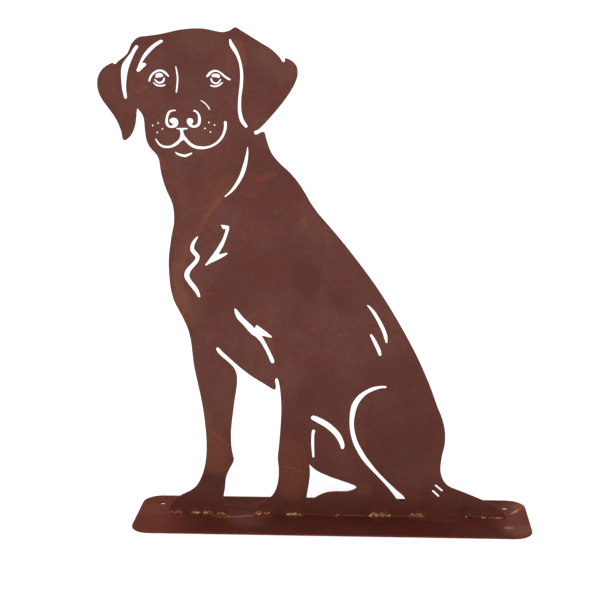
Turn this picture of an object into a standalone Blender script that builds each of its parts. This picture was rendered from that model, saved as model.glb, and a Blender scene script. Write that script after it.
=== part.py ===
"""Sitting dog cut from flat steel sheet, standing on edge on a thin steel base.

The dog's outline and the slots through it are drawn on a sheet 600 units high,
which the dog's own height turns into metres. The drawing's zero is the middle
of the base's width and the top of the base. Beads of weld lie along the front
of the joint between the dog and the base.
"""

import math

import bpy
from mathutils import Vector
from mathutils.geometry import interpolate_bezier

# Sizes in metres
DOG_HEIGHT = 0.600
DOG_SHEET = 0.002
BASE_WIDTH = 0.490
BASE_DEPTH = 0.125
BASE_SHEET = 0.002
BASE_CORNER_RADIUS = 0.024
PEG_HOLE_DIAMETER = 0.008
PEG_HOLE_FROM_SIDE = 0.0262
PEG_HOLE_FROM_BACK = 0.0275
WHISKER_HOLE_DIAMETER = 0.0020
JOINT_GAP = 0.0003

# The drawing's scale and how finely its curves are stepped, in its own units
DRAWING_HEIGHT = 600.0
UNIT = DOG_HEIGHT / DRAWING_HEIGHT
FOOT_LINE = JOINT_GAP / UNIT
STEP = 0.6
LARGEST_FLAT_ERROR = 0.07
CAP_STEPS = 8

# Where each weld bead starts and ends along the joint, how high it climbs the
# dog and how far it reaches over the base, in the drawing's units
WELD_BEADS = (
    (-206.0, -186.5, 4.6, 3.6),
    (-179.0, -164.2, 4.4, 3.0),
    (-163.2, -150.0, 4.6, 4.2),
    (-146.0, -131.2, 2.4, 5.6),
    (-96.6, -87.6, 5.4, 4.4),
    (-86.8, -76.2, 4.2, 4.0),
    (-58.0, -36.0, 3.8, 3.6),
    (1.0, 11.8, 2.6, 3.0),
    (45.6, 76.6, 5.4, 3.8),
    (95.4, 117.6, 5.4, 3.2),
    (165.0, 184.0, 6.4, 3.6),
    (185.4, 193.2, 3.0, 2.6),
    (195.4, 214.6, 3.0, 4.2),
)
BEAD_RIPPLES_PER_UNIT = 0.32
BEAD_ROUND_STEPS = 4

# The whisker holes' middles
WHISKER_HOLES = (
    (-211.9, 486.6),
    (-205.3, 489.4),
    (-200.3, 482.6),
    (-206.5, 478.3),
    (-144.7, 490.1),
    (-138.0, 487.0),
    (-149.5, 483.1),
    (-143.0, 478.8),
)


def smooth(points, closed=False):
    """A smooth curve through the points, in short straight steps."""
    knots = [Vector(point) for point in points]
    count = len(knots)
    curve = []
    for index in range(count if closed else count - 1):
        start = knots[index]
        end = knots[(index + 1) % count]
        before = knots[index - 1] if closed or index else 2.0 * start - end
        last = not closed and index + 2 == count
        after = 2.0 * end - start if last else knots[(index + 2) % count]
        leave = handle(before, start, end)
        arrive = handle(after, end, start)
        steps = max(2, math.ceil((end - start).length / STEP))
        curve += interpolate_bezier(start, leave, arrive, end, steps + 1)[:-1]
    return curve if closed else curve + [knots[-1]]


def handle(before, here, ahead):
    """The curve's handle at a point, on the side of the point ahead."""
    behind = math.sqrt((here - before).length)
    front = math.sqrt((ahead - here).length)
    total = ahead * behind**2 - before * front**2
    total += here * (2 * behind**2 + 3 * behind * front + front**2)
    return total / (3 * behind * (behind + front))


def outline(*runs):
    """A closed line of smooth runs that meet at corners."""
    line = []
    for run in runs:
        line += smooth(run)[:-1]
    return line


def slot(*stations):
    """The closed line round a slot, from its middle line's points and half widths."""
    middle = smooth(stations)
    one_side = []
    other_side = []
    for index, place in enumerate(middle):
        ahead = middle[min(index + 1, len(middle) - 1)]
        behind = middle[max(index - 1, 0)]
        along = (ahead - behind).xy.normalized()
        across = Vector((-along.y, along.x)) * place.z
        one_side.append(place.xy + across)
        other_side.append(place.xy - across)
    far_end = cap(middle[-1].xy, one_side[-1])
    near_end = cap(middle[0].xy, other_side[0])
    return one_side + far_end + other_side[::-1] + near_end


def cap(middle, start):
    """The points of a half turn about the middle, between its two ends."""
    arm = start - middle
    turns = [-math.pi * step / CAP_STEPS for step in range(1, CAP_STEPS)]
    return [middle + turned(arm, angle) for angle in turns]


def turned(arm, angle):
    """A flat vector turned by an angle."""
    across = Vector((-arm.y, arm.x))
    return arm * math.cos(angle) + across * math.sin(angle)


def circle(middle, radius, steps):
    """The points of a circle."""
    arms = [turned(Vector((radius, 0.0)), math.tau * step / steps) for step in range(steps)]
    return [Vector(middle) + arm for arm in arms]


def thinned(line, error):
    """The line with only the points that keep its shape to within the error."""
    if len(line) < 3:
        return line
    start = line[0]
    chord = line[-1] - start
    length = max(chord.length, 1e-9)
    offsets = [abs(chord.cross(point - start)) / length for point in line]
    farthest = max(range(len(line)), key=offsets.__getitem__)
    if offsets[farthest] <= error:
        return [start, line[-1]]
    first_part = thinned(line[: farthest + 1], error)
    return first_part[:-1] + thinned(line[farthest:], error)


def thinned_loop(line, error):
    """A closed line thinned in two halves, so that its ends stay apart."""
    flat = [point.xy for point in line]
    half = len(flat) // 2
    first_half = thinned(flat[: half + 1], error)
    second_half = thinned(flat[half:] + flat[:1], error)
    return first_half[:-1] + second_half[:-1]


def dog_outline():
    """The edge of the dog, from the front paw's toe up and round to it again."""
    chest = (
        (-205.5, FOOT_LINE), (-204.6, 6), (-202, 12.4), (-197.5, 18.7), (-190, 23.9),
        (-175.8, 31.4), (-170.7, 35.8), (-166.2, 42.3), (-160.1, 57.5), (-156.6, 76),
        (-155.9, 101), (-159, 136), (-162, 155), (-169.2, 193), (-172.2, 223.5), (-175.3, 238),
        (-180.4, 251), (-191.4, 273.4), (-194.3, 283.5), (-196.2, 296), (-197, 325),
        (-193.4, 351), (-189.3, 371.6), (-189.7, 388), (-191.7, 396.3), (-198.3, 412),
        (-203.1, 429.5), (-205.6, 446.5), (-207.9, 451.6), (-215.2, 460.1), (-218.1, 464.9),
        (-219.9, 470.6), (-221, 478.5), (-222.3, 495.3), (-224.4, 500.6), (-229.4, 507),
    )
    left_ear = (
        (-229.4, 507), (-230.6, 502.5), (-231, 497.5), (-232.8, 486.6), (-237.7, 475.6),
        (-244.2, 469.6), (-246.5, 469.3), (-248.1, 470.8), (-249.8, 480.4), (-254.7, 492.9),
        (-259.6, 501), (-270, 515.4), (-273.5, 521.8), (-275.7, 528.1), (-276.5, 534.2),
        (-276.1, 540.2), (-274.3, 546), (-271.2, 551.1), (-267.1, 555.1), (-259.3, 559.5),
        (-257.1, 560),
    )
    ear_nick = ((-257.1, 560), (-255.3, 558.6))
    crown = (
        (-255.3, 558.6), (-253.4, 559), (-250.9, 561.5), (-239.9, 570.3), (-233, 583.3),
        (-225.8, 589.3), (-214.6, 590.9), (-199.7, 592.9), (-175.4, 597.9), (-155.8, 599.2),
        (-146.6, 598.5), (-127, 594.7), (-118.5, 596.4), (-111.6, 600), (-104.6, 596.2),
        (-80.4, 581.3), (-70, 574.9), (-60.2, 565.6), (-57, 560.5),
    )
    ear_notch = ((-57, 560.5), (-55.6, 559.9), (-54.1, 560.7))
    notch_side = ((-54.1, 560.7), (-53.9, 564.6))
    back = (
        (-53.9, 564.6), (-49.9, 563.5), (-44.7, 560.5), (-41.2, 556.5), (-39.3, 551.4),
        (-40.1, 541), (-51.6, 520), (-86.2, 481.5), (-89.6, 480.2), (-91.2, 478.8),
        (-91.2, 477.2), (-90.2, 476), (-88.3, 475.8), (-83.3, 478.4), (-80.6, 479), (-78.8, 478),
        (-76.4, 469.3), (-72.3, 457.2), (-69, 451), (-59.6, 440.3), (-49.3, 430.8),
        (-39.2, 418.8), (-29.6, 403.7), (-24.8, 395), (-15.2, 381.3), (-7.7, 372.7), (20, 339.4),
        (60, 284.5), (100, 215.3), (119.4, 172.4), (131.2, 140.2), (135.2, 130.8),
        (139.7, 112.5), (139.6, 94.8), (136.3, 79), (134.9, 64.6), (135.7, 56.9), (137.8, 50.3),
        (141, 45), (145.8, 40.7), (161.4, 34.2), (178.5, 27.3), (185.1, 24.4), (199.2, 18.9),
        (205.8, 15), (215.2, 5.4), (217, FOOT_LINE),
    )
    belly = (
        (-96, FOOT_LINE), (-95, 4.8), (-92.2, 10), (-88.2, 14.8), (-83.2, 19), (-74.6, 25),
        (-69.5, 34.4), (-66.3, 48.8), (-66, 62), (-67, 73.8), (-64.7, 98), (-62, 140),
        (-63.9, 168), (-66.1, 176.8), (-67.4, 177.7), (-68.7, 176.6), (-69.1, 173.6),
        (-68.3, 166.1), (-68.9, 163.8), (-70.3, 163), (-83.2, 170.6), (-98, 179.8),
        (-112.8, 191.4), (-135.1, 212.1), (-138.2, 215.5), (-140.3, 215.9), (-141.4, 214.4),
        (-138.6, 208.6), (-120.8, 191.6), (-116.6, 182), (-116.6, 168.2), (-119.9, 147.5),
        (-124.7, 110), (-124.9, 91.8), (-124, 83.2), (-122, 72), (-123, 68), (-127.4, 60),
        (-131.6, 49.9), (-132.7, 45), (-133.8, 33.6), (-135.6, 23.6), (-135, 16), (-132.2, 8),
        (-128.5, FOOT_LINE),
    )
    hind_foot = ((217, FOOT_LINE), (-96, FOOT_LINE))
    front_foot = ((-128.5, FOOT_LINE), (-205.5, FOOT_LINE))
    return outline(
        chest, left_ear, ear_nick, crown, ear_notch, notch_side, back, hind_foot, belly, front_foot
    )


def gap_between_paws():
    """The opening between the right front leg and the hind paw."""
    return outline(
        (
            (-28, 67.4), (-20.4, 60.4), (-14.9, 57), (-0.5, 50.8), (29.4, 39.8), (31, 37.9),
            (29.3, 36), (20.4, 32.6), (4.5, 32), (-8.4, 29.9), (-22.8, 22.2), (-28.4, 16.8),
            (-30.2, 16), (-31.6, 17), (-31.9, 20), (-30.6, 28), (-27.1, 51.5), (-27.1, 62.5),
            (-28, 67.4),
        )
    )


def ear_slots():
    """The slots that set off the two ears, and the one over the left brow."""
    left = slot(
        (-228.2, 578.2, 2), (-231.1, 574.4, 2.1), (-233.6, 570, 2.2), (-241.8, 556.6, 4.2),
        (-243.6, 550, 4), (-244.7, 536, 2.8), (-244.4, 528, 2.3), (-243.2, 519.9, 1.8),
    )
    right = slot(
        (-117.9, 585.4, 1.2), (-116.6, 581, 2.2), (-113.5, 575.6, 2.4), (-110.6, 570.8, 2),
        (-106.8, 560.4, 1.6), (-104.9, 547, 1.8), (-105.6, 533, 1.9), (-107.6, 518.5, 1.8),
        (-107.8, 502.5, 2.1), (-105.1, 491.8, 2.3), (-100.7, 485.7, 1.9),
    )
    brow = outline(
        (
            (-222.1, 560.2), (-217, 567.2), (-207.2, 577), (-201.4, 581.2), (-197.4, 583.7),
            (-196.7, 585), (-197.8, 586.1), (-199.7, 586), (-210, 580.1), (-219.8, 570.2),
            (-228.3, 553.5), (-229.1, 550.8), (-227.9, 549.6), (-225.6, 550), (-223.3, 552),
            (-217.8, 556.8), (-217.3, 558.3), (-218.6, 559.4), (-220.4, 559.5), (-222.1, 560.2),
        )
    )
    return [left, right, brow]


def left_eye():
    """The lids, the white and the iris of the left eye."""
    upper_lid = slot(
        (-214.3, 539.2, 1.2), (-213.4, 541.8, 1.2), (-211.7, 544.9, 1.2), (-209.3, 547.6, 1.2),
        (-204.2, 550.5, 1.1), (-201.6, 550.9, 1.1), (-199, 550.5, 1.1), (-196.7, 549.3, 1.3),
        (-194.4, 547.4, 1.4), (-191.5, 544.3, 0.9),
    )
    white = smooth(
        (
            (-207, 544.2), (-206.3, 546), (-204.7, 547.4), (-202.6, 548), (-200.1, 547.6),
            (-198.3, 546.5), (-197.6, 545.1), (-198.1, 543.8), (-201.5, 543.1), (-205.2, 542.4),
            (-206.6, 542.8),
        ),
        closed=True,
    )
    iris = slot(
        (-207.7, 540.6, 0.7), (-206.8, 539.1, 0.9), (-205.4, 537.7, 1), (-203.6, 536.8, 1),
        (-201.6, 536.6, 1), (-199.6, 537.1, 1.1), (-197.9, 538.4, 1.2), (-197, 540, 1.2),
        (-196.6, 541.8, 0.9),
    )
    lower_lid = slot(
        (-209.4, 537, 0.6), (-208.3, 535.7, 0.8), (-206.7, 534.4, 0.9), (-204.7, 533.5, 0.9),
        (-200.1, 533, 0.9), (-197.7, 533.4, 0.9), (-195.9, 534.2, 0.7),
    )
    return [upper_lid, white, iris, lower_lid]


def right_eye():
    """The lids, the white and the iris of the right eye."""
    upper_lid = slot(
        (-146.1, 543.8, 0.9), (-144.5, 545, 1.3), (-143, 546.8, 1.5), (-141.2, 548.5, 1.3),
        (-139, 549.7, 1.1), (-136.5, 550.2, 1.1), (-134, 550, 1), (-130, 548, 1),
        (-124.3, 543.1, 1.2), (-120, 540.5, 1.2), (-118.9, 540, 1),
    )
    white = smooth(
        (
            (-140.6, 544), (-139.8, 545.8), (-138.1, 546.7), (-133.3, 546.7), (-131.4, 545.7),
            (-130.5, 544.3), (-130.7, 542.9), (-131.8, 542), (-135.2, 542.7), (-137.4, 543),
            (-139.5, 543),
        ),
        closed=True,
    )
    iris = slot(
        (-140.9, 541.3, 0.8), (-140.8, 539.8, 1.1), (-140.1, 538.1, 1.1), (-138.8, 536.8, 1),
        (-137, 535.9, 1), (-135.2, 535.6, 0.9), (-133.3, 536.1, 0.9), (-131.7, 537.3, 0.9),
        (-130.6, 538.9, 0.9), (-129.9, 540.3, 0.7),
    )
    lower_lid = slot(
        (-141.8, 533.3, 0.7), (-140, 532.7, 0.9), (-137.6, 532.2, 0.9), (-135.2, 532.3, 0.9),
        (-131, 534, 0.9), (-129, 535.4, 0.8), (-127.5, 537, 0.6),
    )
    return [upper_lid, white, iris, lower_lid]


def nose():
    """The two nostrils, the bridge of the nose and the crease beside it."""
    left = outline(
        (
            (-187, 487.8), (-189.7, 489.4), (-191.1, 490.8), (-191.7, 492.4), (-190.7, 494.2),
            (-186.6, 495.7), (-182.7, 494.2), (-181.5, 492.3), (-181.1, 490.1), (-181.5, 487.9),
            (-182.6, 485.9), (-184.5, 484.5), (-189.7, 483.6), (-193.9, 484.9), (-196.3, 488.4),
            (-196.5, 493.5), (-194.2, 501), (-193, 502.8), (-191.2, 504.1), (-188.9, 504.8),
            (-184.2, 504.9), (-183.5, 504.2), (-184.1, 503.5), (-186.1, 503.5), (-188.1, 503.2),
            (-189.8, 502.3), (-191.1, 500.8), (-192.9, 496.5), (-193.4, 491.5), (-192.4, 487.6),
            (-191.4, 486.6), (-190.1, 486.2), (-188.7, 486.5), (-187, 487.8),
        )
    )
    right = outline(
        (
            (-164.9, 488.2), (-164.1, 487), (-162.8, 486.4), (-159.4, 487.7), (-158.2, 489.4),
            (-157.6, 491.9), (-157.6, 496.9), (-158.1, 499.1), (-159.1, 500.9), (-160.5, 502.2),
            (-162.1, 502.9), (-163.1, 503.2), (-163.2, 504.1), (-162.3, 504.8), (-159.5, 504.1),
            (-156.1, 500.8), (-154.2, 495.6), (-154.3, 490.3), (-155.1, 487.9), (-156.5, 486),
            (-158.3, 484.8), (-162.6, 483.8), (-167.2, 485), (-170.5, 488.8), (-171.1, 491.2),
            (-170.7, 493.1), (-169.5, 494.6), (-167.3, 495.2), (-165.4, 494.9), (-163.9, 493.7),
            (-163.2, 492.2), (-163.3, 490.7), (-164.1, 489.5), (-164.9, 488.2),
        )
    )
    bridge = slot(
        (-182.4, 554.9, 0.7), (-180.8, 545, 1), (-180.7, 540, 1), (-182, 529, 1),
        (-182.6, 525.8, 0.9),
    )
    crease = slot(
        (-153.6, 515.9, 0.5), (-149.8, 513.3, 0.7), (-145.8, 509.2, 0.7), (-144.4, 507, 0.8),
        (-143.7, 505.4, 0.7),
    )
    return [left, right, bridge, crease]


def mouth():
    """The bar under the nose, the two halves of the smile, and the chin."""
    bar_left = (
        (-179.6, 481.4), (-183.4, 482.5), (-183.6, 483.3), (-177, 483.6), (-171, 483.6),
        (-169.7, 483.1), (-170.3, 482.3), (-175.4, 481.4),
    )
    right_smile = (
        (-175.4, 481.4), (-175.4, 478.6), (-174.6, 476), (-172.8, 473.1), (-167.4, 467),
        (-164, 464.4), (-159.7, 462.6), (-150.3, 461.7), (-145.3, 462.6), (-140.4, 464.5),
        (-136.3, 467.2), (-132.9, 470.6), (-130, 474.7), (-128.2, 478.8), (-127.1, 483),
        (-126.8, 487), (-126.9, 489.6), (-126.4, 491.2), (-125, 491.7), (-123.7, 490.6),
        (-123.6, 483.8), (-124.7, 479.4), (-129.1, 470.7), (-136, 464.2), (-144.7, 460),
        (-154.6, 458.4), (-163.9, 460.1), (-170.3, 464.5), (-174.3, 468.8), (-175.9, 469.6),
    )
    left_smile = (
        (-175.9, 469.6), (-178.8, 467.5), (-181.2, 465.1), (-184, 463.1), (-190.9, 460.2),
        (-199.5, 460.2), (-203, 461.7), (-205.9, 464.2), (-209.2, 470), (-208.9, 471.1),
        (-208.1, 471), (-205.2, 466.9), (-202.8, 464.5), (-199.3, 463), (-195.3, 462.4),
        (-191.4, 462.9), (-188, 464.3), (-181.8, 469.3), (-179.9, 472), (-178.9, 477.5),
        (-179.6, 481.4),
    )
    chin = slot(
        (-185.2, 454.8, 0.7), (-182.8, 452.9, 1.2), (-176.4, 450.9, 1.5), (-173.4, 450.7, 1.5),
        (-166.3, 453.6, 0.9),
    )
    return [outline(bar_left, right_smile, left_smile), chin]


def chest_slots():
    """The slots down the neck and the chest."""
    neck = slot(
        (-99.1, 460.3, 0.6), (-99.8, 452.5, 1.4), (-103.3, 437, 2.3), (-108, 425, 2.2),
        (-116.3, 412, 1.6), (-121.8, 406.2, 1.1), (-127.2, 401.9, 0.6),
    )
    fur_tuft = outline(
        ((-126.6, 363.2), (-128, 362.7), (-130.2, 362.8), (-132.6, 366.7)),
        ((-132.6, 366.7), (-132, 367.8), (-130, 367.6), (-124, 366.7), (-122.6, 366)),
        (
            (-122.6, 366), (-123.2, 361.6), (-130.2, 342.8), (-136.6, 331.7),
        ),
        (
            (-136.6, 331.7), (-128.7, 333.2), (-126.3, 333.8), (-125.3, 332.9), (-134, 326.8),
            (-148.7, 319.8), (-152.1, 317.8), (-152.6, 318.9), (-150.4, 321.8), (-137.9, 339),
            (-130.3, 352), (-126.6, 363.2),
        ),
    )
    fur_wave = slot(
        (-161.1, 353.1, 0.6), (-163.8, 349.7, 1.4), (-167, 344.4, 2), (-168.1, 339.8, 2.3),
        (-167.4, 336.2, 2.6), (-162, 329.2, 2.6), (-162.3, 325.6, 2.4), (-164.7, 321.8, 2.3),
        (-172.1, 313.7, 2.6), (-174.9, 308.8, 3), (-175.3, 304.4, 3.1), (-173.3, 299.8, 2.8),
        (-166.6, 290.7, 2.8), (-163.4, 285.8, 2.4), (-161.1, 280.2, 1.6),
    )
    return [neck, fur_tuft, fur_wave]


def elbow_slot():
    """The barbed slot over the elbow of the right front leg."""
    return outline(
        (
            (-93.8, 240.4), (-96.4, 243.3), (-107, 253.4), (-116, 264.4), (-117.4, 265),
            (-118.2, 263.6), (-115.4, 253.4), (-107.5, 244.5), (-99.1, 234.4), (-96.3, 232),
            (-93.2, 230.2), (-86.9, 223.5), (-77.5, 205.8), (-74.1, 197.4), (-72.1, 196.4),
            (-70.3, 197.8), (-70.4, 200.6), (-80, 221.7), (-84.9, 230.9),
        ),
        (
            (-84.9, 230.9), (-82, 230.7), (-74.3, 228.9), (-72.6, 229.6), (-85.3, 240.7),
            (-91.2, 244.7),
        ),
        ((-91.2, 244.7), (-93.8, 240.4)),
    )


def body_slots():
    """The slots down the flank, round the thigh, behind the knee and at the tail."""
    upper_flank = slot(
        (43.9, 269.9, 0.8), (49.4, 263.9, 1.7), (54.4, 256.4, 2), (63.6, 238.2, 2.2),
        (66, 230.6, 2), (67, 224.4, 1.2),
    )
    lower_flank = slot(
        (48.2, 232.8, 1.4), (51.2, 227.6, 2), (57.5, 214.2, 2.2), (59.2, 208.7, 1.7),
    )
    thigh = outline(
        (
            (66.6, 166.3), (60.3, 165.9), (47.6, 161), (41.3, 156.7), (33, 145.8), (28.7, 131.6),
            (27.5, 118), (31.3, 100.2), (39.3, 83.8), (50.1, 67.9), (62.1, 53.5), (83, 33),
            (88, 28.8), (91.2, 24.8), (91.9, 21), (90.4, 18), (87.6, 17), (84.6, 18.6),
            (75.4, 31.4), (65.1, 43.9), (39.3, 72.4), (30.9, 86.4), (25.8, 98.8), (22.9, 113),
            (22.4, 127.4), (24.1, 141.2), (26.3, 147.4), (34, 157.7), (47.6, 166.2),
            (54.4, 168.3), (66, 169.1), (67.6, 167.8), (66.6, 166.3),
        )
    )
    knee = slot(
        (-22.2, 127.3, 3.1), (-16.6, 124.8, 3.6), (-4, 117.2, 3.7), (7.4, 105.8, 3.5),
        (13.2, 93.6, 2.7), (13.6, 89.3, 2),
    )
    hock = slot(
        (-22.2, 110.4, 1.9), (-23, 106.6, 1.7), (-23.4, 92, 1.7), (-22.5, 77, 1.2),
    )
    tail_upper = slot((129.5, 41.7, 1.2), (137.1, 35.1, 1.2))
    tail_lower = slot((126, 34.6, 1.2), (133, 27.9, 1.2))
    return [upper_flank, lower_flank, thigh, knee, hock, tail_upper, tail_lower]


def dog_lines():
    """Every line cut in the dog's sheet, the outer edge first."""
    lines = [dog_outline(), gap_between_paws(), elbow_slot()]
    lines += ear_slots() + left_eye() + right_eye() + nose() + mouth()
    lines += chest_slots() + body_slots()
    radius = WHISKER_HOLE_DIAMETER / UNIT / 2
    lines += [circle(middle, radius, 10) for middle in WHISKER_HOLES]
    return [thinned_loop(line, LARGEST_FLAT_ERROR) for line in lines]


def base_lines():
    """The base's rounded edge and its two peg holes, in metres."""
    half_width = BASE_WIDTH / 2
    half_depth = BASE_DEPTH / 2
    steps = 16
    edge = []
    for quarter, (side, end) in enumerate(((1, 1), (-1, 1), (-1, -1), (1, -1))):
        middle = Vector(
            (side * (half_width - BASE_CORNER_RADIUS), end * (half_depth - BASE_CORNER_RADIUS))
        )
        for step in range(steps + 1):
            angle = math.pi / 2 * (quarter + step / steps)
            edge.append(middle + turned(Vector((BASE_CORNER_RADIUS, 0.0)), angle))
    holes = []
    for side in (-1, 1):
        place = (side * (half_width - PEG_HOLE_FROM_SIDE), half_depth - PEG_HOLE_FROM_BACK)
        holes.append(circle(place, PEG_HOLE_DIAMETER / 2, 24))
    return [edge] + holes


def steel(name, colour, roughness):
    """A steel surface of one colour and roughness."""
    material = bpy.data.materials.new(name)
    material.use_nodes = True
    shader = material.node_tree.nodes["Principled BSDF"]
    shader.inputs["Base Color"].default_value = (*colour, 1.0)
    shader.inputs["Roughness"].default_value = roughness
    shader.inputs["Metallic"].default_value = 0.35
    return material


def sheet_from_lines(name, lines, scale, thickness, material):
    """A flat sheet with the first line as its edge and the others cut through."""
    curve = bpy.data.curves.new(name, "CURVE")
    curve.dimensions = "2D"
    curve.fill_mode = "BOTH"
    curve.extrude = thickness / 2
    for line in lines:
        spline = curve.splines.new("POLY")
        spline.points.add(len(line) - 1)
        for point, place in zip(spline.points, line):
            point.co = (place.x * scale, place.y * scale, 0.0, 1.0)
        spline.use_cyclic_u = True
    curve.materials.append(material)
    return bpy.data.objects.new(name, curve)


def dog_plate(material):
    """The dog's sheet, stood on edge over the middle of the base's depth."""
    plate = sheet_from_lines("dog_plate", dog_lines(), UNIT, DOG_SHEET, material)
    plate.location = (0.0, 0.0, BASE_SHEET)
    plate.rotation_euler = (math.pi / 2, 0.0, 0.0)
    return plate


def base_plate(material):
    """The base's sheet, lying flat with its underside at zero."""
    plate = sheet_from_lines("base_plate", base_lines(), 1.0, BASE_SHEET, material)
    plate.location = (0.0, 0.0, BASE_SHEET / 2)
    return plate


def bead_section(place, start, end, climb, reach):
    """One cross-section of a weld bead, from the back along its round face to the back."""
    length = end - start
    share = min(max((place - start) / length, 0.0), 1.0)
    swell = math.sqrt(max(1.0 - abs(2.0 * share - 1.0) ** 2.6, 0.0)) * 0.86 + 0.14
    ripple = 1.0 + 0.05 * math.cos(math.tau * BEAD_RIPPLES_PER_UNIT * (place - start))
    size = swell * ripple
    back = -DOG_SHEET / 2 - JOINT_GAP
    floor = BASE_SHEET + JOINT_GAP
    points = [Vector((place * UNIT, back, floor))]
    for step in range(BEAD_ROUND_STEPS + 1):
        angle = math.pi / 2 * step / BEAD_ROUND_STEPS
        out = reach * size * UNIT * math.cos(angle) ** 0.8
        up = climb * size * UNIT * math.sin(angle) ** 0.8
        points.append(Vector((place * UNIT, back - out, floor + up)))
    return points


def weld_bead(number, start, end, climb, reach, material):
    """A bead of weld in the corner between the dog's front and the base."""
    stations = max(6, math.ceil((end - start) / 1.8))
    places = [start + (end - start) * index / stations for index in range(stations + 1)]
    sections = [bead_section(place, start, end, climb, reach) for place in places]
    ring = len(sections[0])
    points = [point for section in sections for point in section]
    faces = [tuple(range(ring))]
    for station in range(stations):
        for corner in range(ring):
            here = station * ring + corner
            beside = station * ring + (corner + 1) % ring
            faces.append((here, here + ring, beside + ring, beside))
    last = stations * ring
    faces.append(tuple(last + corner for corner in reversed(range(ring))))
    name = f"weld_bead_{number:02d}"
    mesh = bpy.data.meshes.new(name)
    mesh.from_pydata(points, [], faces)
    mesh.materials.append(material)
    return bpy.data.objects.new(name, mesh)


def main():
    """Clears the scene and builds the dog, the base and the weld."""
    for old in list(bpy.data.objects):
        bpy.data.objects.remove(old, do_unlink=True)
    rusted_sheet = steel("rusted_steel_sheet", (0.115, 0.042, 0.030), 0.62)
    rusted_base = steel("rusted_steel_base", (0.078, 0.026, 0.020), 0.58)
    weld_metal = steel("weld_metal", (0.220, 0.130, 0.070), 0.50)
    pieces = [dog_plate(rusted_sheet), base_plate(rusted_base)]
    for number, bead in enumerate(WELD_BEADS, start=1):
        pieces.append(weld_bead(number, *bead, weld_metal))
    dog = bpy.data.collections.new("sitting_dog_sculpture")
    bpy.context.scene.collection.children.link(dog)
    for piece in pieces:
        dog.objects.link(piece)


main()
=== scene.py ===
"""The looks of a sitting dog cut from rusted sheet steel and welded to a thin base.

Every size is in metres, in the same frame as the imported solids: +X runs along the
base towards the tail, +Y through the sheet towards its back, and +Z is up.
"""

import logging
import math
import random
from collections.abc import Callable
from dataclasses import dataclass
from enum import Enum

import bmesh
import bpy
from mathutils import Matrix, Vector, noise


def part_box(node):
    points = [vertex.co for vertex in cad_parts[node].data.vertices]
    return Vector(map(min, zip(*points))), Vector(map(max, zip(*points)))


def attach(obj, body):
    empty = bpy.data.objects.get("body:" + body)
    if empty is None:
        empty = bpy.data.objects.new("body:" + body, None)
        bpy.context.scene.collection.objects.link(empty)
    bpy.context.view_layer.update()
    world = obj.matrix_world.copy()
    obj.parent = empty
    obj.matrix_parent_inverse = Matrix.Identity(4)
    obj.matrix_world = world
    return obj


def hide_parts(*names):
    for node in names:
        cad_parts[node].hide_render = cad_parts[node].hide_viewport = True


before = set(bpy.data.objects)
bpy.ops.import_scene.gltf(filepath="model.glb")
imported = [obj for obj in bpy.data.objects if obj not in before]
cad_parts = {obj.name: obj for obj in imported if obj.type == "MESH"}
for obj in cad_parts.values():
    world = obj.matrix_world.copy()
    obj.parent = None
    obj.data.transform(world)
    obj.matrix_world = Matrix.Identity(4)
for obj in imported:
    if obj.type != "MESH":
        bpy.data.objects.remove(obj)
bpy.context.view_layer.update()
LOG = logging.getLogger("dog")

MM = 0.001
BODY = "root"

SHEET_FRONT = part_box("dog_plate")[0].y
BASE_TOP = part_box("base_plate")[1].z
EDGE_LAYER = "cut_edge"

# How the studio light shows a plain rough finish: its gain, and the haze of gloss on it.
STUDIO_GAIN = 1.45
STUDIO_GLOSS = 0.006
# No finish reflects less than this share of the light.
DARKEST = 0.002

Colour = tuple[float, float, float]
Place = tuple[float, float, float]
Point = tuple[float, float]
Span = tuple[float, float]
Sockets = dict[str, bpy.types.NodeSocket]


def linear(red: int, green: int, blue: int) -> Colour:
    """Turns a colour in a screen's steps of 0 to 255 into linear light.

    Args:
        red: The red step.
        green: The green step.
        blue: The blue step.

    Returns:
        The three linear values.
    """
    shares = (step / 255 for step in (red, green, blue))
    return tuple(
        ((share + 0.055) / 1.055) ** 2.4 if share > 0.04 else share / 12.92 for share in shares
    )


def seen(red: int, green: int, blue: int) -> Colour:
    """The colour of a rough finish that looks like this in the studio.

    Args:
        red: The red step that it shows as.
        green: The green step.
        blue: The blue step.

    Returns:
        The finish's own colour, in linear values.
    """
    values = linear(red, green, blue)
    return tuple(max(DARKEST, (value - STUDIO_GLOSS) / STUDIO_GAIN) for value in values)


class Through(Enum):
    """Which way runs through a sheet, from its best face to its other one."""

    BACKWARD = (0.0, 1.0, 0.0)
    DOWNWARD = (0.0, 0.0, -1.0)


class Tone(Enum):
    """The colours of the marks on the sheets, as the studio shows them: rust, and the dark, light
    and pale tones that some marks use as painted shade, light and sheen.
    """

    ORANGE = (166, 92, 40)
    STRAW = (156, 98, 58)
    WARM = (146, 86, 54)
    RED = (142, 58, 42)
    LIGHT = (110, 62, 51)
    COOL = (90, 72, 66)
    DARK = (66, 34, 30)
    GREY = (156, 122, 110)
    PALE = (196, 172, 150)
    DUST = (134, 100, 86)


class Look(Enum):
    """How a weld bead has weathered: its shares of orange, of straw metal and of painted glints of
    light.
    """

    DULL = (0.12, 0.0, 0.0)
    RUSTED = (0.50, 0.05, 0.05)
    MIXED = (0.50, 0.26, 0.24)
    BRIGHT = (0.50, 0.44, 0.38)


# Node trees


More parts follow.
